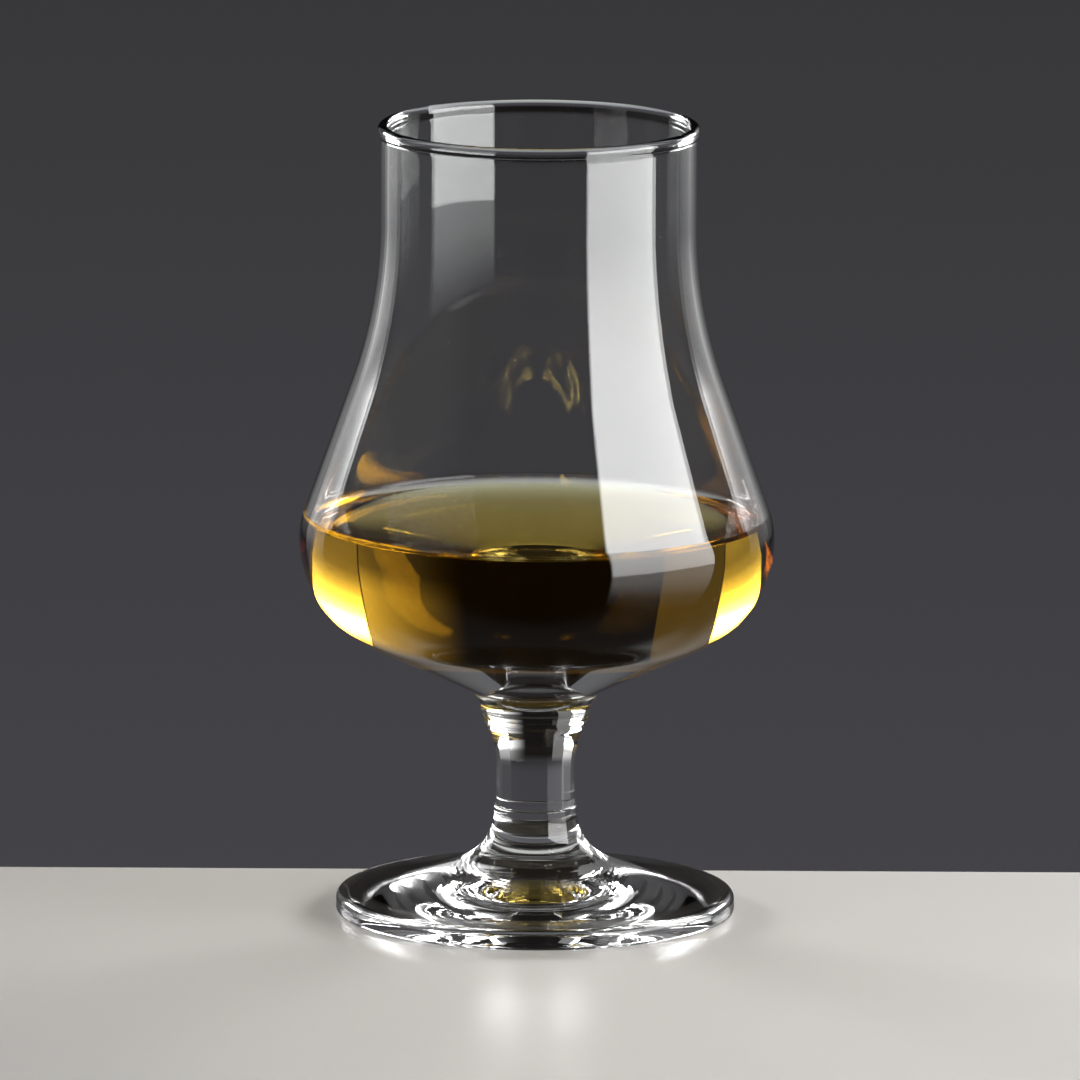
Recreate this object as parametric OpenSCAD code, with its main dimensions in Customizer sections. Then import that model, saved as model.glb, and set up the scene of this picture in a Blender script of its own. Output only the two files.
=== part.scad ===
// Stemmed nosing glass holding a measure of whisky: a tulip bowl with an upright
// neck, a short solid stem and a round foot, each blown or drawn on its own and
// fused hot to the next, and the whisky lying in the bowl.
// Millimetres, +Z up, axis of the glass on Z, table at Z = 0.

/* [Neck and bowl] */
// Outside diameter of the neck under the rim
mouth_diameter = 47.5; // [44:0.5:52]
// Length of the upright neck, rim included
neck_height = 15; // [9:1:21]
// Outside radius of the long hollow curve from the neck into the flank
flare_radius = 71; // [55:2:91]
// Lean of the straight flank away from upright, degrees
flank_lean = 19.6; // [17:0.2:22]
// Outside radius of the shoulder curve above the belly
shoulder_radius = 13; // [9:1:17]
// Outside diameter of the belly
belly_diameter = 71.4; // [68:0.2:76]
// Outside radius of the heel curve below the belly
heel_radius = 16.8; // [14:0.2:19]
// Angle the outside of the heel turns through before the straight underside, degrees
heel_turn = 64.4; // [62:0.2:66]
// Thickness of the glass from the rim to the belly
wall = 1.3; // [1:0.1:1.6]
// Thickness of the round bead at the rim, which stands out round the outside
bead_diameter = 1.7; // [1.7:0.1:2.2]
// Radius of the hollow curve from the neck into the bead
bead_fillet = 2.5; // [1:0.5:4]

/* [Collar and floor] */
// Diameter of the collar under the bowl
collar_diameter = 16.2; // [16.2:0.2:19]
// Radius of the hollow curve from the underside into the collar
collar_fillet = 4.6; // [3:0.2:6]
// Angle the inside of the heel turns through before the straight floor, degrees
floor_turn = 70; // [69:0.5:74]
// Radius of the round bottom of the well in the floor
well_radius = 4.8; // [4:0.2:6]
// Radius of the soft lip round the well
well_lip = 2; // [1:0.2:3]
// Steepest lean of the side of the well away from upright, degrees
well_lean = 32; // [28:1:45]

/* [Whisky] */
// Height of the whisky's level above the widest line of the bowl
level_above_belly = 2.6; // [0:0.2:9]
// Height that the whisky climbs the glass at its edge
meniscus = 1.2; // [0.6:0.1:1.6]

/* [Stem] */
// Length of the stem between its joints with the foot and the bowl
stem_length = 13.8; // [11:0.2:30]
// Diameter of the stem at its narrowest
waist_diameter = 11.7; // [10:0.1:12.2]
// Diameter of the stem where it meets the bowl
stem_top_diameter = 16; // [14.4:0.2:16]
// Height of the widening top of the stem, rounding included
taper_height = 7.7; // [6:0.1:10]
// Radius of the rounding at the top of the stem, close under the bowl
stem_top_round = 2; // [0.4:0.2:3]

/* [Foot] */
// Diameter of the foot
foot_diameter = 60; // [54:1:66]
// Diameter of the pad on top of the foot that takes the stem
pad_diameter = 12.4; // [12.4:0.1:13.6]
// Height of the upright side of the pad
pad_height = 0.5; // [0.2:0.1:1.5]
// Radius of the hollow curve from the pad into the foot
root_radius = 8.2; // [6:0.2:10]
// Slope of the foot where that curve ends, degrees
root_slope = 20.4; // [17:0.2:24]
// Slope of the foot where it reaches its rounded edge, degrees
edge_slope = 9.2; // [6:0.2:12]
// Height of the upright side of the foot's edge above the table
edge_height = 1.9; // [1.4:0.1:2.6]
// Radius of the rounding over the top of the foot's edge
edge_round = 1.2; // [0.8:0.1:1.8]
// Radius of the rounding under the foot's edge
under_round = 0.6; // [0.3:0.1:1]
// Width of the flat ring that the glass stands on
resting_width = 1.6; // [1:0.2:4]
// Rise of the hollow under the foot at its middle
hollow_rise = 2.2; // [1:0.2:4]

/* [Hidden] */

// Furthest that a flat between two outline points may stand off its curve
curve_error = 0.015;
// Faces round the axis when the part is shown as a mesh
around = 144;
// Part of the meniscus that is the flat lip against the glass
lip_share = 0.2;

glass_colour = [0.80, 0.88, 0.90, 0.45];
stem_colour = [0.74, 0.82, 0.86, 0.80];
whisky_colour = [0.80, 0.50, 0.12, 0.90];

mouth_r = mouth_diameter / 2;
belly_r = belly_diameter / 2;
collar_r = collar_diameter / 2;
stem_top_r = stem_top_diameter / 2;
waist_r = waist_diameter / 2;
pad_r = pad_diameter / 2;
foot_r = foot_diameter / 2;

// Foot, from its edge up to the pad
edge_centre = [foot_r - edge_round, edge_height];
slope_end_r = edge_centre[0] + edge_round * sin(edge_slope);
slope_end_z = edge_centre[1] + edge_round * cos(edge_slope);
root_end_r = pad_r + root_radius * (1 - sin(root_slope));
slope_radius = (slope_end_r - root_end_r) / (sin(root_slope) - sin(edge_slope));
slope_centre_r = slope_end_r + slope_radius * sin(edge_slope);
slope_centre_z = slope_end_z + slope_radius * cos(edge_slope);
slope_centre = [slope_centre_r, slope_centre_z];
root_centre_z = slope_centre_z - (slope_radius - root_radius) * cos(root_slope);
root_centre = [pad_r + root_radius, root_centre_z];
pad_round = pad_r - waist_r;
foot_joint = root_centre_z + pad_height + pad_round;
hollow_r = foot_r - under_round - resting_width;
hollow_radius = (hollow_r * hollow_r + hollow_rise * hollow_rise) / (2 * hollow_rise);
hollow_angle = asin(hollow_r / hollow_radius);

// Stem, from the foot's pad up to the collar
bowl_joint = foot_joint + stem_length;
taper_foot = bowl_joint - taper_height;
taper_gain = stem_top_r - waist_r;
taper_reach = (taper_height * taper_height + taper_gain * taper_gain) / (2 * taper_gain);
taper_radius = taper_reach - stem_top_round;
taper_turn = asin(taper_height / taper_reach);

// Outside of the bowl, from the collar up to the rim
collar_round = collar_r - stem_top_r;
collar_level = bowl_joint + collar_round;
heel_centre_r = belly_r - heel_radius;
underside_r = heel_centre_r + heel_radius * cos(heel_turn);
collar_top_r = collar_r + collar_fillet * (1 - cos(heel_turn));
underside_rise = (underside_r - collar_top_r) / tan(heel_turn);
belly_level = collar_level + (heel_radius + collar_fillet) * sin(heel_turn) + underside_rise;
heel_centre = [heel_centre_r, belly_level];
shoulder_centre = [belly_r - shoulder_radius, belly_level];
flank_top_r = mouth_r + flare_radius * (1 - cos(flank_lean));
flank_end_r = belly_r - shoulder_radius * (1 - cos(flank_lean));
flank_rise = (flank_end_r - flank_top_r) / tan(flank_lean);
neck_end = belly_level + (shoulder_radius + flare_radius) * sin(flank_lean) + flank_rise;
flare_centre = [mouth_r + flare_radius, neck_end];
bead_r = bead_diameter / 2;
bead_centre_z = neck_end + neck_height - bead_r;
bead_centre = [mouth_r - wall + bead_r, bead_centre_z];
bead_turn = acos((bead_fillet + wall - bead_r) / (bead_fillet + bead_r));
bead_foot = [mouth_r + bead_fillet, bead_centre_z - (bead_fillet + bead_r) * sin(bead_turn)];

// Inside of the bowl below the belly
inner_heel_radius = heel_radius - wall;
floor_r = heel_centre_r + inner_heel_radius * cos(floor_turn);
lip_centre_r = (well_radius + well_lip) * cos(well_lean);
lip_r = lip_centre_r - well_lip * cos(floor_turn);
floor_drop = (floor_r - lip_r) / tan(floor_turn);
lip_centre_z = belly_level - (inner_heel_radius + well_lip) * sin(floor_turn) - floor_drop;
lip_centre = [lip_centre_r, lip_centre_z];
well_centre = [0, lip_centre_z + (well_radius + well_lip) * sin(well_lean)];

// Whisky
level = belly_level + level_above_belly;
meniscus_lip = meniscus * lip_share;

// Points of an arc, as many as keep its flats close to the curve
function arc(centre, radius, from, to) =
    let (
        flat_turn = 2 * acos(1 - min(curve_error / radius, 1)),
        steps = ceil(abs(to - from) / flat_turn)
    )
    [for (i = [0 : steps])
        let (angle = from + (to - from) * i / steps)
        centre + radius * [cos(angle), sin(angle)]];

// Outside of the bowl from the collar up to the neck
function bowl_outside() = concat(
    arc([stem_top_r, collar_level], collar_round, -90, 0),
    arc([collar_r + collar_fillet, collar_level], collar_fillet, 180, 180 - heel_turn),
    arc(heel_centre, heel_radius, -heel_turn, 0),
    arc(shoulder_centre, shoulder_radius, 0, flank_lean),
    arc(flare_centre, flare_radius, 180 + flank_lean, 180)
);

// Inside of the bowl from the middle of the well up to the neck
function bowl_inside() = concat(
    arc(well_centre, well_radius, -90, -well_lean),
    arc(lip_centre, well_lip, 180 - well_lean, 180 - floor_turn),
    arc(heel_centre, inner_heel_radius, -floor_turn, 0),
    arc(shoulder_centre, shoulder_radius - wall, 0, flank_lean),
    arc(flare_centre, flare_radius + wall, 180 + flank_lean, 180)
);

function rim() = concat(
    arc(bead_foot, bead_fillet, 180, 180 - bead_turn),
    arc(bead_centre, bead_r, -bead_turn, 180)
);

function reversed(points) = [for (i = [len(points) - 1 : -1 : 0]) points[i]];

// Radius of the inside of the bowl at a height above the well
function inside_r(height) = lookup(height, [for (p = bowl_inside()) [p[1], p[0]]]);

module bowl() {
    color(glass_colour)
    rotate_extrude($fn = around)
    polygon(concat([[0, bowl_joint]], bowl_outside(), rim(), reversed(bowl_inside())));
}

module stem() {
    color(stem_colour)
    rotate_extrude($fn = around)
    polygon(concat(
        [[0, foot_joint], [waist_r, foot_joint]],
        arc([waist_r + taper_radius, taper_foot], taper_radius, 180, 180 - taper_turn),
        arc([stem_top_r - stem_top_round, bowl_joint], stem_top_round, -taper_turn, 0),
        [[0, bowl_joint]]
    ));
}

module foot() {
    hollow_centre = [0, hollow_rise - hollow_radius];
    color(stem_colour)
    rotate_extrude($fn = around)
    polygon(concat(
        arc(hollow_centre, hollow_radius, 90, 90 - hollow_angle),
        arc([foot_r - under_round, under_round], under_round, -90, 0),
        arc(edge_centre, edge_round, 0, 90 - edge_slope),
        arc(slope_centre, slope_radius, 270 - edge_slope, 270 - root_slope),
        arc(root_centre, root_radius, 270 - root_slope, 180),
        arc([waist_r, foot_joint - pad_round], pad_round, 0, 90),
        [[0, foot_joint]]
    ));
}

module whisky() {
    edge_top = level + meniscus;
    edge_r = inside_r(edge_top);
    wetted = [for (p = bowl_inside()) if (p[1] < edge_top) p];
    meniscus_centre = [edge_r - meniscus_lip - meniscus, edge_top];
    color(whisky_colour)
    rotate_extrude($fn = around)
    polygon(concat(wetted, [[edge_r, edge_top]], arc(meniscus_centre, meniscus, 0, -90), [[0, level]]));
}

bowl();
stem();
foot();
whisky();
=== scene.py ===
"""Stemmed nosing glass with a measure of whisky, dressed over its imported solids.

The bowl, the stem, the foot and the whisky are bodies of revolution. Each has a class
that draws half of its section from a few sizes, and one Geometry Nodes tree turns the
section round the axis. Lengths are in metres and angles in degrees.
"""

import logging
import math
from dataclasses import dataclass, field
from enum import IntEnum
from typing import Any

import bmesh
import bpy
from mathutils import Euler, Matrix, Vector


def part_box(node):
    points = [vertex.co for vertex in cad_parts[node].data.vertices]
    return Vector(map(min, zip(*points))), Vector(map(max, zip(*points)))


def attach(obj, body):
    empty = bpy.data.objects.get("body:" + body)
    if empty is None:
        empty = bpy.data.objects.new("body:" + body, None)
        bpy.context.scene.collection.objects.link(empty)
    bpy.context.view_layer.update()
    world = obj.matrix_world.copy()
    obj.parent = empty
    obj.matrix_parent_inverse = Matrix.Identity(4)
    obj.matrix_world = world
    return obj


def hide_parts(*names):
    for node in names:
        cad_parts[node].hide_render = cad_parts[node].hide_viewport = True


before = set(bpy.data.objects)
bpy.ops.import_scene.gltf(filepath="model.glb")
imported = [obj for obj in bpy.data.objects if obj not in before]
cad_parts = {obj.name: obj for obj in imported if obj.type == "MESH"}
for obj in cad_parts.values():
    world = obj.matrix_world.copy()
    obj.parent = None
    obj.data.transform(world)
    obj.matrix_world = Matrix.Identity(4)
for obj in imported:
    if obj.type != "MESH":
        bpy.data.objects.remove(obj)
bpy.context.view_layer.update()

LOG = logging.getLogger("nosing_glass")
MM = 0.001
# Watts that each square metre of an area lamp takes to look white at a glow of 1
WHITE_POWER = 4.0
# How often light may pass through the glass, or be mirrored, before it is dropped
GLASS_BOUNCES = 32
GLOSS_BOUNCES = 12
# Brightest light that may reach a pixel by way of another surface
BRIGHT_LIMIT = 30.0

Pair = tuple[float, float]
Colour = tuple[float, float, float]


class Zone(IntEnum):
    """What a stretch of a section meets."""

    OPEN = 0
    FUSED = 1
    WETTED = 2


# The input of the Geometry Nodes tree that takes each zone's finish
FINISH_INPUTS = {
    Zone.OPEN: "Open Finish",
    Zone.FUSED: "Fused Finish",
    Zone.WETTED: "Wetted Finish",
}


class Value:
    """A number socket of a node tree, so that Python sums add Math nodes."""

    def __init__(self, graph: "Graph", socket: bpy.types.NodeSocket) -> None:
        """Wraps a socket.

        Args:
            graph: The graph that the socket belongs to.
            socket: An output socket that carries one number.
        """
        self.graph = graph
        self.socket = socket

    def math(self, operation: str, *others: "Number") -> "Value":
        """Feeds this value and others to a Math node.

        Args:
            operation: The Math node's operation.
            others: The second and third operands, as the operation needs.

        Returns:
            The node's result.
        """
        sockets = dict(enumerate((self, *others)))
        return self.graph.value("ShaderNodeMath", {"operation": operation}, sockets)

    def reflected(self, operation: str, first: float) -> "Value":
        """Feeds a plain number and then this value to a Math node.

        Args:
            operation: The Math node's operation.
            first: The number that comes first.

        Returns:
            The node's result.
        """
        return self.graph.value("ShaderNodeMath", {"operation": operation}, {0: first, 1: self})

    def __add__(self, other: "Number") -> "Value":
        """This value plus another."""
        return self.math("ADD", other)

    def __radd__(self, other: float) -> "Value":
        """A number plus this value."""
        return self.reflected("ADD", other)

    def __sub__(self, other: "Number") -> "Value":
        """This value less another."""
        return self.math("SUBTRACT", other)

    def __rsub__(self, other: float) -> "Value":
        """A number less this value."""
        return self.reflected("SUBTRACT", other)

    def __mul__(self, other: "Number") -> "Value":
        """This value times another."""
        return self.math("MULTIPLY", other)

    def __rmul__(self, other: float) -> "Value":
        """A number times this value."""
        return self.reflected("MULTIPLY", other)

    def __truediv__(self, other: "Number") -> "Value":
        """This value over another."""
        return self.math("DIVIDE", other)

    def __rtruediv__(self, other: float) -> "Value":
        """A number over this value."""
        return self.reflected("DIVIDE", other)

    def __pow__(self, other: "Number") -> "Value":
        """This value to a power."""
        return self.math("POWER", other)

    def __rpow__(self, other: float) -> "Value":
        """A number to the power of this value."""
        return self.reflected("POWER", other)

    def floor(self) -> "Value":
        """The whole part of this value."""
        return self.math("FLOOR")

    def either(self, other: "Value") -> "Value":
        """The larger of two values."""
        return self.math("MAXIMUM", other)

    def ramp(self, low: float, high: float) -> "Value":
        """Eases from 0 to 1 as this value goes from low to high.

        Args:
            low: The value at and below which the result is 0.
            high: The value at and above which the result is 1.

        Returns:
            The eased share.
        """
        settings = {"interpolation_type": "SMOOTHSTEP"}
        sockets = {"Value": self, "From Min": low, "From Max": high}
        return self.graph.value("ShaderNodeMapRange", settings, sockets)


Number = float | Value


class Graph:
    """A node tree that is written with one call for each node."""

    def __init__(self, tree: bpy.types.NodeTree) -> None:
        """Takes over a tree and empties it."""
        self.tree = tree
        tree.nodes.clear()

    def node(
        self,
        kind: str,
        settings: dict[str, Any] | None = None,
        sockets: dict[int | str, Any] | None = None,
    ) -> bpy.types.Node:
        """Adds a node.

        Args:
            kind: The node's type.
            settings: Its properties, set before its sockets. "stops" gives a ramp's
                places and colours.
            sockets: For each input, by name or number, a value or what links to it.

        Returns:
            The node.
        """
        made = self.tree.nodes.new(kind)
        for name, value in (settings or {}).items():
            if name == "stops":
                self.set_stops(made.color_ramp, value)
            else:
                setattr(made, name, value)
        for name, value in (sockets or {}).items():
            if isinstance(value, Value):
                value = value.socket
            if isinstance(value, bpy.types.NodeSocket):
                self.tree.links.new(value, made.inputs[name])
            else:
                made.inputs[name].default_value = value
        return made

    @staticmethod
    def set_stops(ramp: bpy.types.ColorRamp, stops: list[tuple[float, Colour]]) -> None:
        """Gives a colour ramp its stops."""
        while len(ramp.elements) < len(stops):
            ramp.elements.new(0.5)
        for element, (place, colour) in zip(ramp.elements, stops):
            element.position = place
            element.color = solid(colour)

    def value(
        self,
        kind: str,
        settings: dict[str, Any] | None = None,
        sockets: dict[int | str, Any] | None = None,
        output: int | str = 0,
    ) -> Value:
        """Adds a node and wraps one of its outputs.

        Args:
            kind: The node's type.
            settings: Its properties.
            sockets: Its inputs.
            output: The name or number of the output.

        Returns:
            The output as a value.
        """
        return Value(self, self.node(kind, settings, sockets).outputs[output])

    def noise(self, place: bpy.types.NodeSocket, scale: float, detail: float = 2.0) -> Value:
        """Adds a noise pattern.

        Args:
            place: Where the pattern is read.
            scale: How fine it is.
            detail: How many finer layers lie over it.

        Returns:
            The pattern, from 0 to 1.
        """
        sockets = {"Vector": place, "Scale": scale, "Detail": detail}
        return self.value("ShaderNodeTexNoise", None, sockets)

    def axes(self, vector: bpy.types.NodeSocket) -> tuple[Value, Value, Value]:
        """Splits a vector into its three numbers."""
        parts = self.node("ShaderNodeSeparateXYZ", None, {0: vector}).outputs
        return Value(self, parts[0]), Value(self, parts[1]), Value(self, parts[2])

    def blend(self, share: Number, first: Any, second: Any) -> bpy.types.NodeSocket:
        """Mixes two colours.

        Args:
            share: How much of the second colour there is.
            first: A colour, or the socket that carries it.
            second: The same for the other colour.

        Returns:
            The socket with the mixed colour.
        """
        sockets = {"Factor": share, 6: first, 7: second}
        return self.node("ShaderNodeMix", {"data_type": "RGBA"}, sockets).outputs[2]


def solid(colour: Colour) -> tuple[float, float, float, float]:
    """A colour as the nodes take it, with nothing see-through."""
    return (*colour, 1.0)


def new_material(name: str) -> tuple[bpy.types.Material, Graph]:
    """Adds a material.

    Args:
        name: The material's name.

    Returns:
        The material and its empty graph.
    """
    made = bpy.data.materials.new(name)
    made.use_nodes = True
    return made, Graph(made.node_tree)


def on_arc(centre: Pair, radius: float, angle: float) -> Pair:
    """The point of an arc at an angle."""
    turn = math.radians(angle)
    return (centre[0] + radius * math.cos(turn), centre[1] + radius * math.sin(turn))


@dataclass
class Section:
    """Half of a section, as points from the axis out, with a zone for each stretch.

    No stretch is longer than the step, and no two turn by more than the turn. Points
    nearer to each other than the gap are one.
    """

    points: list[Pair] = field(default_factory=list)
    zones: list[Zone] = field(default_factory=list)
    step: float = 0.9 * MM
    turn: float = 2.5
    gap: float = 1e-7

    def add(self, point: Pair, zone: Zone = Zone.OPEN) -> None:
        """Adds a point that a stretch of a zone leads to, unless it is there already."""
        if self.points and math.dist(self.points[-1], point) < self.gap:
            return
        self.points.append(point)
        if len(self.points) > 1:
            self.zones.append(zone)

    def line(self, point: Pair, zone: Zone = Zone.OPEN) -> None:
        """Goes straight to a point in short steps.

        Args:
            point: Where the line ends, as radius and height.
            zone: What the line meets.
        """
        if not self.points:
            self.add(point)
            return
        start = self.points[-1]
        steps = max(1, math.ceil(math.dist(start, point) / self.step))
        for i in range(1, steps + 1):
            share = i / steps
            self.add(tuple(a + (b - a) * share for a, b in zip(start, point)), zone)

    def arc(self, centre: Pair, radius: float, start: float, end: float) -> None:
        """Follows an arc in short steps.

        Args:
            centre: The arc's centre, as radius and height.
            radius: The arc's own radius.
            start: The angle that it starts at.
            end: The angle that it ends at.
        """
        sweep = abs(end - start)
        length = math.radians(sweep) * radius
        steps = max(2, math.ceil(max(sweep / self.turn, length / self.step)))
        for i in range(steps + 1):
            self.add(on_arc(centre, radius, start + (end - start) * i / steps))


@dataclass
class Revolver:
    """The Geometry Nodes tree that turns a section round the axis."""

    segments: int = 216
    merge_gap: float = 2e-7
    shortest_edge: float = 1e-8
    sharp_angle: float = 35.0
    name: str = "turned section"
    sockets: dict[str, str] = field(default_factory=dict)
    tree: bpy.types.NodeTree | None = None

    def build(self) -> None:
        """Builds the tree, with a named input for each choice."""
        self.tree = bpy.data.node_groups.new(self.name, "GeometryNodeTree")
        face = self.tree.interface
        face.new_socket("Section", in_out="INPUT", socket_type="NodeSocketGeometry")
        kinds = {"Segments": "NodeSocketInt"}
        kinds.update(dict.fromkeys(FINISH_INPUTS.values(), "NodeSocketMaterial"))
        for label, kind in kinds.items():
            socket = face.new_socket(label, in_out="INPUT", socket_type=kind)
            self.sockets[label] = socket.identifier
        face.new_socket("Turned", in_out="OUTPUT", socket_type="NodeSocketGeometry")
        graph = Graph(self.tree)
        given = graph.node("NodeGroupInput").outputs
        segments = Value(graph, given["Segments"])
        columns = segments + 1
        index = graph.value("GeometryNodeInputIndex")
        count = graph.value(
            "GeometryNodeAttributeDomainSize", {"component": "MESH"}, {0: given["Section"]}
        )
        grid = graph.node("GeometryNodeMeshGrid", None, {2: count, 3: columns})
        row = (index / columns).floor()
        column = index - row * columns
        place = graph.node(
            "GeometryNodeSampleIndex",
            {"data_type": "FLOAT_VECTOR", "domain": "POINT"},
            {
                "Geometry": given["Section"],
                "Value": graph.value("GeometryNodeInputPosition"),
                "Index": row,
            },
        )
        turned = graph.node(
            "ShaderNodeVectorRotate",
            {"rotation_type": "Z_AXIS"},
            {"Vector": place.outputs[0], "Angle": column * math.tau / segments},
        )
        placed = graph.node(
            "GeometryNodeSetPosition",
            None,
            {"Geometry": grid.outputs[0], "Position": turned.outputs[0]},
        )
        zone = graph.node(
            "GeometryNodeSampleIndex",
            {"data_type": "FLOAT", "domain": "POINT"},
            {
                "Geometry": given["Section"],
                "Value": self.named(graph, "zone"),
                "Index": (index / segments).floor(),
            },
        )
        stored = graph.node(
            "GeometryNodeStoreNamedAttribute",
            {"data_type": "FLOAT", "domain": "FACE"},
            {"Geometry": placed.outputs[0], "Name": "zone", "Value": zone.outputs[0]},
        )
        closed = graph.node(
            "GeometryNodeMergeByDistance",
            None,
            {"Geometry": stored.outputs[0], "Distance": self.merge_gap},
        )
        smooth = graph.node("GeometryNodeSetShadeSmooth", None, {"Geometry": closed.outputs[0]})
        shape = graph.node("GeometryNodeRealizeInstances", None, {0: smooth.outputs[0]})
        for met, label in FINISH_INPUTS.items():
            chosen = graph.value(
                "FunctionNodeCompare",
                {"data_type": "FLOAT", "operation": "EQUAL"},
                {0: self.named(graph, "zone"), 1: float(met)},
            )
            shape = graph.node(
                "GeometryNodeSetMaterial",
                None,
                {"Geometry": shape.outputs[0], "Selection": chosen, "Material": given[label]},
            )
        graph.node("NodeGroupOutput", None, {0: shape.outputs[0]})

    @staticmethod
    def named(graph: Graph, name: str) -> Value:
        """Reads a stored attribute of numbers."""
        return graph.value("GeometryNodeInputNamedAttribute", {"data_type": "FLOAT"}, {0: name})

    def turn(
        self, name: str, section: Section, finishes: dict[Zone, bpy.types.Material]
    ) -> bpy.types.Object:
        """Turns a section into a closed piece.

        Args:
            name: The piece's name.
            section: Half of its section.
            finishes: A material for each zone.

        Returns:
            The piece, as a plain mesh with its faces outwards.
        """
        outline = bpy.data.meshes.new(f"{name}_section")
        edges = [(i, i + 1) for i in range(len(section.points) - 1)]
        outline.from_pydata([(r, 0.0, z) for r, z in section.points], edges, [])
        zones = outline.attributes.new("zone", "FLOAT", "POINT")
        zones.data.foreach_set("value", [float(z) for z in (*section.zones, Zone.OPEN)])
        maker = bpy.data.objects.new(f"{name}_maker", outline)
        bpy.context.scene.collection.objects.link(maker)
        modifier = maker.modifiers.new("turn", "NODES")
        modifier.node_group = self.tree
        modifier[self.sockets["Segments"]] = self.segments
        for met, label in FINISH_INPUTS.items():
            modifier[self.sockets[label]] = finishes[met]
        graph = bpy.context.evaluated_depsgraph_get()
        mesh = bpy.data.meshes.new_from_object(maker.evaluated_get(graph), depsgraph=graph)
        mesh.name = name
        bpy.data.objects.remove(maker)
        bpy.data.meshes.remove(outline)
        self.face_outwards(mesh)
        mesh.set_sharp_from_angle(angle=math.radians(self.sharp_angle))
        piece = bpy.data.objects.new(name, mesh)
        bpy.context.scene.collection.objects.link(piece)
        return piece

    def face_outwards(self, mesh: bpy.types.Mesh) -> None:
        """Turns every face of a closed mesh outwards and drops faces of no area."""
        shell = bmesh.new()
        shell.from_mesh(mesh)
        bmesh.ops.dissolve_degenerate(shell, dist=self.shortest_edge, edges=shell.edges)
        bmesh.ops.recalc_face_normals(shell, faces=shell.faces)
        shell.to_mesh(mesh)
        shell.free()


@dataclass(frozen=True)
class ClearGlass:
    """Colourless glass with the faint waves of hot forming and a trace of handling.

    Faint waves lift the surface all over, and long streaks left by wiping dull it. The
    rings of a shaping tool come in from their inner radius to the full one, and go out
    from the fade to the outer one. Wear dulls the flat that the glass stands on. Scales
    are in lumps for each metre.
    """

    name: str
    refraction: float = 1.52
    tint: Colour = (0.985, 0.995, 0.99)
    wave_height: float = 0.004 * MM
    wave_scale: float = 95.0
    wave_detail: float = 1.0
    wipe_scale: float = 900.0
    wipe_stretch: float = 0.12
    wipe_detail: float = 3.0
    wipe_range: Pair = (0.58, 0.8)
    wipe_roughness: float = 0.02
    ring_height: float = 0.0
    ring_pitch: float = 0.95 * MM
    ring_inner: float = 6.4 * MM
    ring_full: float = 7.04 * MM
    ring_fade: float = 8.96 * MM
    ring_outer: float = 14 * MM
    wear: float = 0.0
    wear_height: float = 0.25 * MM
    wear_scale: float = 2500.0
    wear_range: Pair = (0.4, 0.7)

    def material(self) -> bpy.types.Material:
        """Builds the material.

        Returns:
            The material.
        """
        made, graph = new_material(self.name)
        place = graph.node("ShaderNodeTexCoord").outputs["Object"]
        height = graph.noise(place, self.wave_scale, self.wave_detail) * self.wave_height
        if self.ring_height:
            height = height + self.tool_rings(graph, place)
        bump = graph.node("ShaderNodeBump", None, {"Distance": 1.0, "Height": height})
        stretch = (1, 1, self.wipe_stretch)
        drawn_out = graph.node("ShaderNodeMapping", None, {"Vector": place, "Scale": stretch})
        wipes = graph.noise(drawn_out.outputs[0], self.wipe_scale, self.wipe_detail)
        roughness = wipes.ramp(*self.wipe_range) * self.wipe_roughness
        if self.wear:
            roughness = roughness + self.scuffs(graph, place)
        surface = graph.node(
            "ShaderNodeBsdfPrincipled",
            None,
            {
                "Base Color": solid(self.tint),
                "Roughness": roughness,
                "IOR": self.refraction,
                "Transmission Weight": 1.0,
                "Normal": bump.outputs[0],
            },
        )
        graph.node("ShaderNodeOutputMaterial", None, {"Surface": surface.outputs[0]})
        return made

    def tool_rings(self, graph: Graph, place: bpy.types.NodeSocket) -> Value:
        """Draws the faint rings that a shaping tool leaves round the axis.

        Args:
            graph: The material's graph.
            place: The place on the piece.

        Returns:
            The height of the rings.
        """
        across, along, _ = graph.axes(place)
        reach = (across**2 + along**2) ** 0.5
        inside = reach.ramp(self.ring_inner, self.ring_full)
        fading = 1 - reach.ramp(self.ring_fade, self.ring_outer)
        rings = (reach * (math.tau / self.ring_pitch)).math("SINE")
        return rings * inside * fading * self.ring_height

    def scuffs(self, graph: Graph, place: bpy.types.NodeSocket) -> Value:
        """Dulls the flat that the glass is slid about on.

        Args:
            graph: The material's graph.
            place: The place on the piece.

        Returns:
            The roughness that wear adds.
        """
        low = 1 - graph.axes(place)[2].ramp(0.0, self.wear_height)
        grain = graph.noise(place, self.wear_scale)
        return low * grain.ramp(*self.wear_range) * self.wear


@dataclass(frozen=True)
class FusedJoint:
    """Glass fused to glass, of which nothing shows."""

    name: str = "fused_joint"

    def material(self) -> bpy.types.Material:
        """Builds the material.

        Returns:
            The material.
        """
        made, graph = new_material(self.name)
        clear = graph.node("ShaderNodeBsdfTransparent")
        graph.node("ShaderNodeOutputMaterial", None, {"Surface": clear.outputs[0]})
        return made


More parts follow.
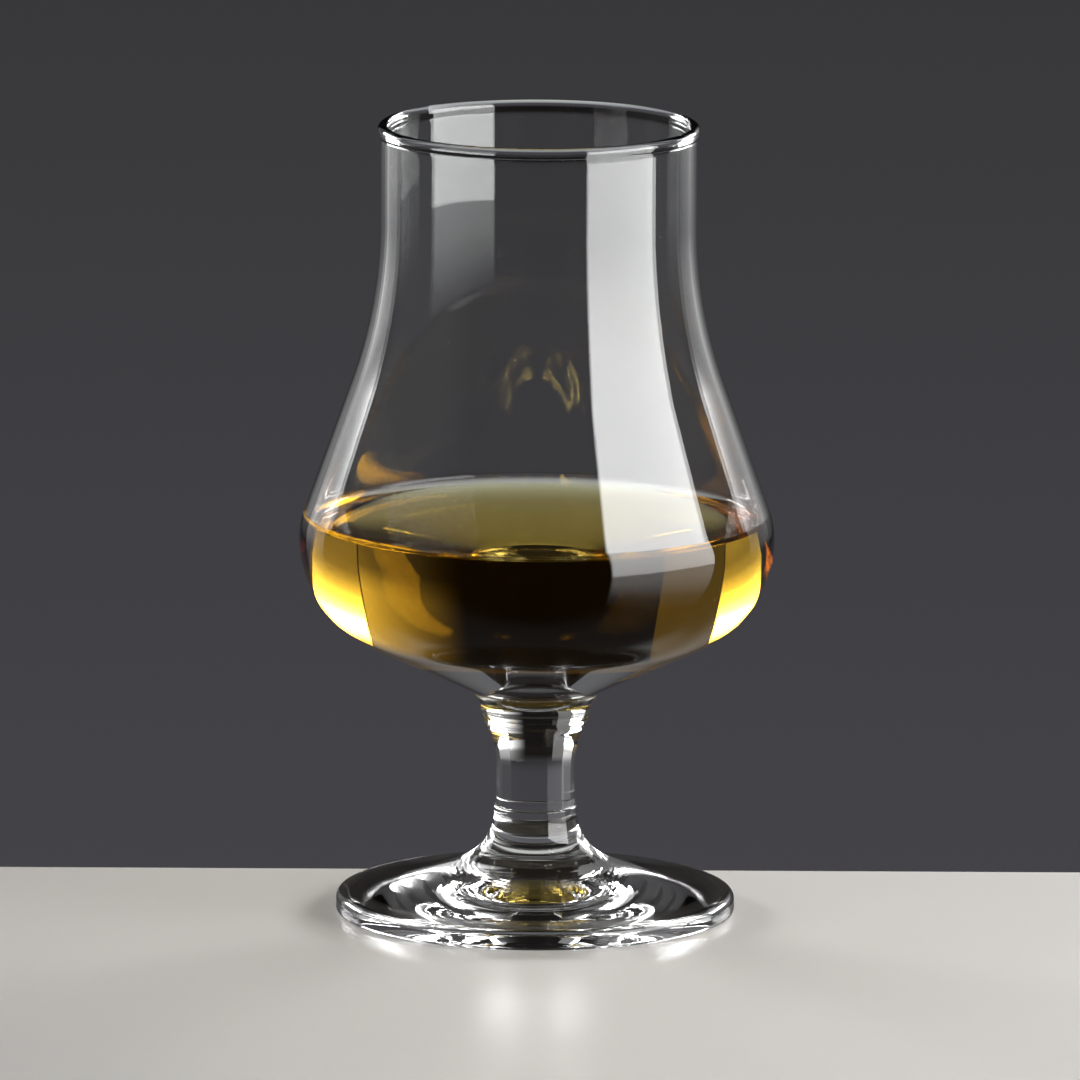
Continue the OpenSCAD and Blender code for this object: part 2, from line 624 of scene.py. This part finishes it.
@dataclass(frozen=True)
class Whisky:
    """Golden whisky: its own surface where it is open, and colour by depth all through.

    The density is how much of what the depth colour lacks is lost in each metre.
    """

    name: str = "whisky_liquid"
    refraction: float = 1.36
    surface_colour: Colour = (1.0, 0.98, 0.93)
    depth_colour: Colour = (0.87, 0.76, 0.28)
    density: float = 100.0

    def material(self) -> bpy.types.Material:
        """Builds the material.

        Returns:
            The material.
        """
        made, graph = new_material(self.name)
        zone = graph.value("ShaderNodeAttribute", {"attribute_name": "zone"}, None, "Fac")
        wetted = zone.ramp(Zone.OPEN + 0.5, Zone.WETTED - 0.5)
        surface = graph.node(
            "ShaderNodeBsdfPrincipled",
            None,
            {
                "Base Color": solid(self.surface_colour),
                "Roughness": 0.0,
                "IOR": self.refraction,
                "Transmission Weight": 1.0,
            },
        )
        clear = graph.node("ShaderNodeBsdfTransparent")
        shown = graph.node(
            "ShaderNodeMixShader", None, {0: wetted, 1: surface.outputs[0], 2: clear.outputs[0]}
        )
        depth = graph.node(
            "ShaderNodeVolumeAbsorption",
            None,
            {"Color": solid(self.depth_colour), "Density": self.density},
        )
        graph.node(
            "ShaderNodeOutputMaterial",
            None,
            {"Surface": shown.outputs[0], "Volume": depth.outputs[0]},
        )
        return made


@dataclass
class Bowl:
    """The blown bowl, from its rim to the collar under it."""

    flare_radius: float = 71 * MM
    flank_lean: float = 19.6
    shoulder_radius: float = 13 * MM
    heel_radius: float = 16.8 * MM
    heel_turn: float = 64.4
    wall: float = 1.3 * MM
    bead_r: float = 0.85 * MM
    bead_fillet: float = 2.5 * MM
    mouth_r: float = 23.75 * MM
    neck_height: float = 15 * MM
    collar_r: float = 8.1 * MM
    collar_fillet: float = 4.6 * MM
    collar_round: float = 0.1 * MM
    floor_turn: float = 70.0
    well_radius: float = 4.8 * MM
    well_lip: float = 2 * MM
    well_lean: float = 32.0
    waterline: float = 0.0

    def __post_init__(self) -> None:
        """Works out the centres of the curves from the node's box."""
        low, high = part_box("bowl")
        self.top = high.z
        self.joint = low.z
        self.belly_r = high.x
        self.neck_end = self.top - self.neck_height
        lean = math.radians(self.flank_lean)
        flank_top = self.mouth_r + self.flare_radius * (1 - math.cos(lean))
        flank_end = self.belly_r - self.shoulder_radius * (1 - math.cos(lean))
        drop = (flank_end - flank_top) / math.tan(lean)
        shoulder_top = self.neck_end - self.flare_radius * math.sin(lean) - drop
        self.belly = shoulder_top - self.shoulder_radius * math.sin(lean)
        self.shoulder_centre = (self.belly_r - self.shoulder_radius, self.belly)
        self.flare_centre = (self.mouth_r + self.flare_radius, self.neck_end)
        self.heel_centre = (self.belly_r - self.heel_radius, self.belly)
        self.inner_heel = self.heel_radius - self.wall
        floor = math.radians(self.floor_turn)
        well = math.radians(self.well_lean)
        lip_r = (self.well_radius + self.well_lip) * math.cos(well)
        floor_end = lip_r - self.well_lip * math.cos(floor)
        floor_start = self.heel_centre[0] + self.inner_heel * math.cos(floor)
        floor_drop = (floor_start - floor_end) / math.tan(floor)
        lip_z = self.belly - (self.inner_heel + self.well_lip) * math.sin(floor) - floor_drop
        self.lip_centre = (lip_r, lip_z)
        self.well_centre = (0.0, lip_z + (self.well_radius + self.well_lip) * math.sin(well))

    def inside(self, overlap: float = 0.0) -> Section:
        """Follows the inside of the bowl from the middle of the well up to the neck.

        Args:
            overlap: How far inside the glass to keep.

        Returns:
            The section.
        """
        made = Section()
        made.arc(self.well_centre, self.well_radius + overlap, -90, -self.well_lean)
        lip, lip_end = self.well_lip - overlap, 180 - self.floor_turn
        made.arc(self.lip_centre, lip, 180 - self.well_lean, lip_end)
        heel = self.inner_heel + overlap
        made.line(on_arc(self.heel_centre, heel, -self.floor_turn))
        made.arc(self.heel_centre, heel, -self.floor_turn, 0)
        shoulder = self.shoulder_radius - self.wall + overlap
        made.arc(self.shoulder_centre, shoulder, 0, self.flank_lean)
        flare = self.flare_radius + self.wall - overlap
        made.line(on_arc(self.flare_centre, flare, 180 + self.flank_lean))
        made.arc(self.flare_centre, flare, 180 + self.flank_lean, 180)
        return made

    def wetted(self, top: float, overlap: float = 0.0) -> Section:
        """The inside from the middle of the well up to a height, all wetted.

        Args:
            top: The height that the whisky climbs to.
            overlap: How far inside the glass to keep.

        Returns:
            The section, which ends at that height.
        """
        part = Section()
        for point in self.inside(overlap).points:
            if point[1] >= top:
                break
            part.add(point, Zone.WETTED)
        last = part.points[-1]
        share = (top - last[1]) / (point[1] - last[1])
        part.add((last[0] + (point[0] - last[0]) * share, top), Zone.WETTED)
        return part

    def rim(self, section: Section) -> None:
        """Follows the neck up into the bead and over it to the inside.

        Args:
            section: The section to add to.
        """
        reach = self.bead_fillet + self.bead_r
        centre = (self.mouth_r - self.wall + self.bead_r, self.top - self.bead_r)
        foot_r = self.mouth_r + self.bead_fillet
        turn = math.acos((foot_r - centre[0]) / reach)
        foot = (foot_r, centre[1] - reach * math.sin(turn))
        degrees = math.degrees(turn)
        section.line((self.mouth_r, foot[1]))
        section.arc(foot, self.bead_fillet, 180, 180 - degrees)
        section.arc(centre, self.bead_r, -degrees, 180)

    def section(self) -> Section:
        """Draws the section, from the joint round the outside and back down the inside.

        Returns:
            The section.
        """
        made = Section()
        made.line((0.0, self.joint))
        made.line((self.collar_r - self.collar_round, self.joint), Zone.FUSED)
        level = self.joint + self.collar_round
        made.arc((self.collar_r - self.collar_round, level), self.collar_round, -90, 0)
        fillet_centre = (self.collar_r + self.collar_fillet, level)
        made.arc(fillet_centre, self.collar_fillet, 180, 180 - self.heel_turn)
        made.line(on_arc(self.heel_centre, self.heel_radius, -self.heel_turn))
        made.arc(self.heel_centre, self.heel_radius, -self.heel_turn, 0)
        made.arc(self.shoulder_centre, self.shoulder_radius, 0, self.flank_lean)
        made.line(on_arc(self.flare_centre, self.flare_radius, 180 + self.flank_lean))
        made.arc(self.flare_centre, self.flare_radius, 180 + self.flank_lean, 180)
        self.rim(made)
        made.line((self.mouth_r - self.wall, self.neck_end))
        wet = self.wetted(self.waterline)
        dry = [point for point in self.inside().points if point[1] > self.waterline]
        for point in reversed(dry):
            made.add(point)
        made.add(wet.points[-1])
        for point in reversed(wet.points[:-1]):
            made.add(point, Zone.WETTED)
        return made


@dataclass
class Stem:
    """The short solid stem, waisted, with a taper up to the bowl."""

    waist_r: float = 5.85 * MM
    taper_height: float = 7.7 * MM
    top_round: float = 2 * MM

    def section(self) -> Section:
        """Draws the section, from the foot's pad up to the collar.

        Returns:
            The section.
        """
        low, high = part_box("stem")
        gain = high.x - self.waist_r
        reach = (self.taper_height**2 + gain**2) / (2 * gain)
        radius = reach - self.top_round
        taper_foot = high.z - self.taper_height
        turn = math.degrees(math.asin(self.taper_height / reach))
        made = Section()
        made.line((0.0, low.z))
        made.line((self.waist_r, low.z), Zone.FUSED)
        made.line((self.waist_r, taper_foot))
        made.arc((self.waist_r + radius, taper_foot), radius, 180, 180 - turn)
        made.arc((high.x - self.top_round, high.z), self.top_round, -turn, 0)
        made.line((0.0, high.z), Zone.FUSED)
        return made


@dataclass
class Foot:
    """The round foot, with the pad for the stem, its ring and the hollow under it."""

    pad_r: float = 6.2 * MM
    pad_round: float = 0.35 * MM
    root_radius: float = 8.2 * MM
    root_slope: float = 20.4
    edge_slope: float = 9.2
    edge_height: float = 1.9 * MM
    edge_round: float = 1.2 * MM
    under_round: float = 0.6 * MM
    resting_width: float = 1.6 * MM
    hollow_rise: float = 2.2 * MM

    def section(self) -> Section:
        """Draws the section, from the middle of the hollow round to the pad.

        Returns:
            The section.
        """
        low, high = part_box("foot")
        edge_r = high.x
        hollow_r = edge_r - self.under_round - self.resting_width
        hollow_radius = (hollow_r**2 + self.hollow_rise**2) / (2 * self.hollow_rise)
        hollow_turn = math.degrees(math.asin(hollow_r / hollow_radius))
        edge_centre = (edge_r - self.edge_round, self.edge_height)
        root, edge = math.radians(self.root_slope), math.radians(self.edge_slope)
        end_r = edge_centre[0] + self.edge_round * math.sin(edge)
        end_z = edge_centre[1] + self.edge_round * math.cos(edge)
        root_end = self.pad_r + self.root_radius * (1 - math.sin(root))
        slope_radius = (end_r - root_end) / (math.sin(root) - math.sin(edge))
        slope_centre = (
            end_r + slope_radius * math.sin(edge),
            end_z + slope_radius * math.cos(edge),
        )
        root_z = slope_centre[1] - (slope_radius - self.root_radius) * math.cos(root)
        made = Section()
        made.arc((0.0, self.hollow_rise - hollow_radius), hollow_radius, 90, 90 - hollow_turn)
        made.line((edge_r - self.under_round, low.z))
        made.arc((edge_r - self.under_round, self.under_round), self.under_round, -90, 0)
        made.arc(edge_centre, self.edge_round, 0, 90 - self.edge_slope)
        made.arc(slope_centre, slope_radius, 270 - self.edge_slope, 270 - self.root_slope)
        root_centre = (self.pad_r + self.root_radius, root_z)
        made.arc(root_centre, self.root_radius, 270 - self.root_slope, 180)
        pad_corner = (self.pad_r - self.pad_round, high.z - self.pad_round)
        made.arc(pad_corner, self.pad_round, 0, 90)
        made.line((0.0, high.z), Zone.FUSED)
        return made


@dataclass
class Measure:
    """The whisky in the bowl, with its edge drawn up against the glass."""

    meniscus: float = 1.2 * MM
    lip_share: float = 0.2
    overlap: float = 0.02 * MM

    def section(self, bowl: Bowl) -> Section:
        """Draws the section, up the wetted inside and back over the level surface.

        The wetted side lies a hair inside the glass, so that light always meets it.

        Args:
            bowl: The bowl that the whisky lies in.

        Returns:
            The section.
        """
        top = bowl.waterline
        made = bowl.wetted(top, self.overlap)
        edge_r = made.points[-1][0] - self.overlap
        centre_r = edge_r - self.meniscus * (1 + self.lip_share)
        made.arc((centre_r, top), self.meniscus, 0, -90)
        made.line((0.0, top - self.meniscus))
        return made


@dataclass(frozen=True)
class Softbox:
    """A soft upright lamp that faces the glass.

    Its span is a pair of azimuths, counted from the camera's side round to the right.
    Its glow gives the light that it sends out at heights above the table, and its bend
    sinks that towards both sides. Its fade is the share of the light that is lost
    towards the end of its span.
    """

    name: str
    span: Pair
    glow: tuple[Pair, ...]
    distance: float = 1.0
    soft_side: float = 0.02
    fade: float = 0.0
    fade_power: float = 1.5
    bend: float = 0.0

    def place(self) -> None:
        """Stands the lamp up, facing the axis of the glass."""
        low, high = self.glow[0][0], self.glow[-1][0]
        half_span = math.radians(self.span[1] - self.span[0]) / 2
        brightest = max(strength for _, strength in self.glow)
        lamp = bpy.data.lights.new(self.name, "AREA")
        lamp.shape = "RECTANGLE"
        lamp.size = 2 * self.distance * math.tan(half_span)
        lamp.size_y = high - low
        lamp.energy = WHITE_POWER * brightest * lamp.size * lamp.size_y
        stops = [
            ((z - low) / (high - low), (strength / brightest,) * 3) for z, strength in self.glow
        ]
        self.shade(lamp, stops)
        turn = math.radians(sum(self.span) / 2)
        away = Vector((math.sin(turn), -math.cos(turn), 0.0))
        holder = bpy.data.objects.new(self.name, lamp)
        holder.location = away * self.distance + Vector((0.0, 0.0, (low + high) / 2))
        holder.rotation_euler = away.to_track_quat("Z", "Y").to_euler()
        holder.visible_camera = False
        bpy.context.scene.collection.objects.link(holder)

    def shade(self, lamp: bpy.types.Light, stops: list[tuple[float, Colour]]) -> None:
        """Shades the lamp up its height and softens its sides.

        Args:
            lamp: The lamp.
            stops: Shares of the height and of the light there.
        """
        lamp.use_nodes = True
        graph = Graph(lamp.node_tree)
        across = graph.node("ShaderNodeNewGeometry").outputs["Parametric"]
        side, up, _ = graph.axes(across)
        sides = side.ramp(0.0, self.soft_side) * (1 - side).ramp(0.0, self.soft_side)
        bend = self.bend / (self.glow[-1][0] - self.glow[0][0])
        bent = up + bend * (side - 0.5) ** 2
        share = graph.value("ShaderNodeValToRGB", {"stops": stops}, {"Fac": bent})
        kept = (1 - side * self.fade) ** self.fade_power
        glow = graph.node("ShaderNodeEmission", None, {"Strength": sides * share * kept})
        graph.node("ShaderNodeOutputLight", None, {"Surface": glow.outputs[0]})


@dataclass(frozen=True)
class Studio:
    """The floor, the backdrop, the lamps and the camera.

    At each edge, one part of the backdrop eases into the next. An edge's numbers run
    from 0, beside the glass, to 1, straight behind it. The side edge's are squares of
    those, and the below edge's run from 0, straight up, to 1, straight down. The focal
    length and the offset of the glass's axis are in pixels of the photograph, and the
    picture is its width in them.
    """

    floor_colour: Colour = (0.66, 0.64, 0.61)
    floor_through_glass: Colour = (0.08, 0.068, 0.06)
    backdrop_low: Colour = (0.062, 0.06, 0.069)
    backdrop_high: Colour = (0.037, 0.036, 0.038)
    behind_below: Colour = (0.36, 0.37, 0.385)
    dark_room: Colour = (0.008, 0.007, 0.007)
    side_room: Colour = (0.09, 0.09, 0.095)
    straight_below: Colour = (0.6, 0.63, 0.6)
    behind_edge: Pair = (0.0, 0.5)
    side_edge: Pair = (0.1, 0.5)
    below_edge: Pair = (0.84, 0.93)
    below_behind_edge: Pair = (0.15, 0.4)
    ambient: float = 0.25
    floor_grain: float = 30.0
    floor_roughness: float = 0.3
    floor_unevenness: float = 0.1
    glass_floor: float = 31 * MM
    glass_floor_end: float = 38.75 * MM
    floor_back: float = 30.3 * MM
    floor_reach: float = 0.7
    floor_depth: float = 0.9
    floor_thickness: float = 20 * MM
    floor_round: float = 1.5 * MM
    camera_distance: float = 2.214
    camera_height: float = 0.47335
    camera_pitch: float = 10.659
    camera_roll: float = 0.3
    axis_offset: float = 3.2
    focal_pixels: float = 15006.0
    picture: float = 1080.0
    sensor_width: float = 36.0

    def floor_material(self) -> bpy.types.Material:
        """Builds the table top's material.

        Seen in or through the glass it is dark, and away from the foot it isn't there.

        Returns:
            The material.
        """
        made, graph = new_material("pale_table")
        place = graph.node("ShaderNodeTexCoord").outputs["Object"]
        cloud = graph.noise(place, self.floor_grain)
        in_glass = self.seen_in_glass(graph)
        dark = solid(self.floor_through_glass)
        surface = graph.node(
            "ShaderNodeBsdfPrincipled",
            None,
            {
                "Base Color": graph.blend(in_glass, solid(self.floor_colour), dark),
                "Roughness": self.floor_roughness + cloud * self.floor_unevenness,
            },
        )
        reach = graph.value(
            "ShaderNodeVectorMath", {"operation": "LENGTH"}, {0: place}, "Value"
        )
        far = reach.ramp(self.glass_floor, self.glass_floor_end) * in_glass
        clear = graph.node("ShaderNodeBsdfTransparent")
        shown = graph.node(
            "ShaderNodeMixShader", None, {0: far, 1: surface.outputs[0], 2: clear.outputs[0]}
        )
        graph.node("ShaderNodeOutputMaterial", None, {"Surface": shown.outputs[0]})
        return made

    def lay_floor(self) -> None:
        """Lays the pale table top that the glass stands on."""
        slab = bmesh.new()
        bmesh.ops.create_cube(slab, size=1.0)
        size = Vector((2 * self.floor_reach, self.floor_depth, self.floor_thickness))
        middle = Vector((0.0, self.floor_back - size.y / 2, -size.z / 2))
        bmesh.ops.transform(
            slab,
            matrix=Matrix.Translation(middle) @ Matrix.Diagonal((*size, 1.0)),
            verts=slab.verts,
        )
        bmesh.ops.bevel(
            slab, geom=slab.edges, offset=self.floor_round, segments=4, affect="EDGES"
        )
        mesh = bpy.data.meshes.new("table_top")
        slab.to_mesh(mesh)
        slab.free()
        mesh.materials.append(self.floor_material())
        top = bpy.data.objects.new("table_top", mesh)
        bpy.context.scene.collection.objects.link(top)

    @staticmethod
    def seen_in_glass(graph: Graph) -> Value:
        """Is 1 for what is seen in or through glass, and 0 otherwise."""
        path = graph.node("ShaderNodeLightPath").outputs
        mirrored = Value(graph, path["Is Glossy Ray"])
        return mirrored.either(Value(graph, path["Is Transmission Ray"]))

    def hang_backdrop(self) -> None:
        """Paints the world: a grey backdrop to look at, and an even light on the table.

        The backdrop's heights run from 0, straight down, to 1, straight up. The glass
        shows the rest of the room too, and only what is behind it is bright below.
        """
        world = bpy.data.worlds.new("backdrop")
        bpy.context.scene.world = world
        world.use_nodes = True
        graph = Graph(world.node_tree)
        _, back, up = graph.axes(graph.node("ShaderNodeTexCoord").outputs["Generated"])
        stops = [
            (0.21, self.behind_below),
            (0.3, self.backdrop_low),
            (0.39, self.backdrop_low),
            (0.43, self.backdrop_high),
            (0.45, self.backdrop_high),
            (0.5, self.dark_room),
        ]
        height = up * 0.5 + 0.5
        behind = graph.node("ShaderNodeValToRGB", {"stops": stops}, {"Fac": height})
        dark = solid(self.dark_room)
        room = graph.blend(back.ramp(*self.behind_edge), dark, behind.outputs[0])
        room = graph.blend((back**2).ramp(*self.side_edge), solid(self.side_room), room)
        steep = (1 - height).ramp(*self.below_edge) * back.ramp(*self.below_behind_edge)
        room = graph.blend(steep, room, solid(self.straight_below))
        path = graph.node("ShaderNodeLightPath").outputs
        seen = self.seen_in_glass(graph).either(Value(graph, path["Is Camera Ray"]))
        backdrop = graph.node("ShaderNodeBackground", None, {"Color": room})
        even = solid((self.ambient, self.ambient, self.ambient))
        light = graph.node("ShaderNodeBackground", None, {"Color": even})
        both = graph.node(
            "ShaderNodeMixShader", None, {0: seen, 1: light.outputs[0], 2: backdrop.outputs[0]}
        )
        graph.node("ShaderNodeOutputWorld", None, {"Surface": both.outputs[0]})

    def light(self) -> None:
        """Hangs the lamps, each glow as pairs of a height and the light there."""
        key = (
            (-0.27, 0.05), (-0.19, 0.15), (-0.15, 0.35), (-0.04, 1.25), (0.024, 1.5),
            (0.0255, 4.7), (0.05, 4.9), (0.1, 5.4), (0.2, 6.15), (0.33, 6.25),
        )
        right = (
            (-0.25, 0.0), (-0.16, 0.015), (-0.1, 0.05),
            (-0.08, 0.07), (-0.045, 0.2), (0.0, 0.3), (0.06, 0.36), (0.1, 0.38),
            (0.14, 0.5), (0.17, 1.0), (0.2, 2.0), (0.24, 5.0), (0.265, 17.0),
            (0.29, 55.0), (0.31, 55.0), (0.34, 40.0), (0.36, 4.0), (0.6, 0.2),
        )
        left = (
            (-0.25, 0.05), (-0.16, 0.1), (-0.12, 0.15), (-0.08, 0.22),
            (-0.045, 0.35), (0.0, 0.5), (0.07, 0.6), (0.115, 0.5),
            (0.16, 0.9), (0.2, 2.2), (0.24, 6.0), (0.265, 18.0),
            (0.29, 55.0), (0.31, 55.0), (0.34, 40.0), (0.36, 4.0), (0.6, 0.2),
        )
        left_spill = ((-0.08, 0.02), (0.0, 0.12), (0.6, 0.17))
        right_spill = (
            (-0.08, 0.1), (0.1, 0.3), (0.18, 1.35), (0.34, 1.35), (0.37, 0.1), (0.6, 0.1),
        )
        lamps = (
            Softbox("key_softbox", (35.0, 93.0), key, distance=0.45, bend=0.054),
            Softbox("back_left", (-148.0, -124.0), left),
            Softbox("back_right", (124.0, 151.0), right),
            Softbox("left_spill", (-163.0, -148.0), left_spill),
            Softbox("right_spill", (151.0, 171.0), right_spill, fade=1.0),
        )
        for lamp in lamps:
            lamp.place()

    def set_camera(self) -> None:
        """Stands the camera where the photograph was taken from."""
        lens = bpy.data.cameras.new("photograph")
        lens.sensor_width = self.sensor_width
        lens.lens = self.focal_pixels / self.picture * self.sensor_width
        holder = bpy.data.objects.new("photograph", lens)
        holder.location = (0.0, -self.camera_distance, self.camera_height)
        yaw = math.atan(self.axis_offset / self.focal_pixels)
        level = Euler((math.radians(90 - self.camera_pitch), 0.0, -yaw)).to_matrix()
        roll = Matrix.Rotation(math.radians(self.camera_roll), 3, "Z")
        holder.rotation_euler = (level @ roll).to_euler()
        bpy.context.scene.collection.objects.link(holder)
        bpy.context.scene.camera = holder


@dataclass
class NosingGlass:
    """The whole glass, with what is in it."""

    level_above_belly: float = 2.6 * MM
    joint_finish: FusedJoint = FusedJoint()
    bowl_finish: ClearGlass = ClearGlass("bowl_glass")
    stem_finish: ClearGlass = ClearGlass("stem_glass")
    foot_finish: ClearGlass = ClearGlass("foot_glass", ring_height=0.006 * MM, wear=0.25)
    liquid_finish: Whisky = Whisky()

    def build(self) -> list[bpy.types.Object]:
        """Builds and dresses every piece.

        Returns:
            The pieces.
        """
        bowl = Bowl()
        measure = Measure()
        bowl.waterline = bowl.belly + self.level_above_belly + measure.meniscus
        revolver = Revolver()
        revolver.build()
        joint = self.joint_finish.material()
        bowl_glass = self.bowl_finish.material()
        stem_glass = self.stem_finish.material()
        foot_glass = self.foot_finish.material()
        # Where glass meets whisky, light bends by the ratio of the two
        ratio = self.bowl_finish.refraction / self.liquid_finish.refraction
        wetted_glass = ClearGlass("wetted_glass", refraction=ratio).material()
        whisky = self.liquid_finish.material()
        jobs = (
            ("bowl", bowl.section(), "bowl_glass", (bowl_glass, joint, wetted_glass)),
            ("stem", Stem().section(), "stem_glass", (stem_glass, joint, joint)),
            ("foot", Foot().section(), "foot_glass", (foot_glass, joint, joint)),
            ("whisky", measure.section(bowl), "whisky_liquid", (whisky, whisky, whisky)),
        )
        pieces = []
        for node, section, slot, looks in jobs:
            piece = revolver.turn(f"{node}_surface", section, dict(zip(Zone, looks)))
            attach(piece, "root")
            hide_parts(node)
            pieces.append(piece)
        return pieces


def main() -> None:
    """Builds the glass and the studio, and logs each piece's face count."""
    logging.basicConfig(level=logging.INFO, format="%(name)s: %(message)s")
    scene = bpy.context.scene
    scene.view_settings.view_transform = "Standard"
    scene.cycles.sample_clamp_indirect = BRIGHT_LIMIT
    scene.cycles.max_bounces = GLASS_BOUNCES
    scene.cycles.transmission_bounces = GLASS_BOUNCES
    scene.cycles.transparent_max_bounces = GLASS_BOUNCES
    scene.cycles.glossy_bounces = GLOSS_BOUNCES
    for piece in NosingGlass().build():
        LOG.info("%s: %d faces", piece.name, len(piece.data.polygons))
    studio = Studio()
    studio.lay_floor()
    studio.hang_backdrop()
    studio.light()
    studio.set_camera()


if __name__ == "__main__":
    main()
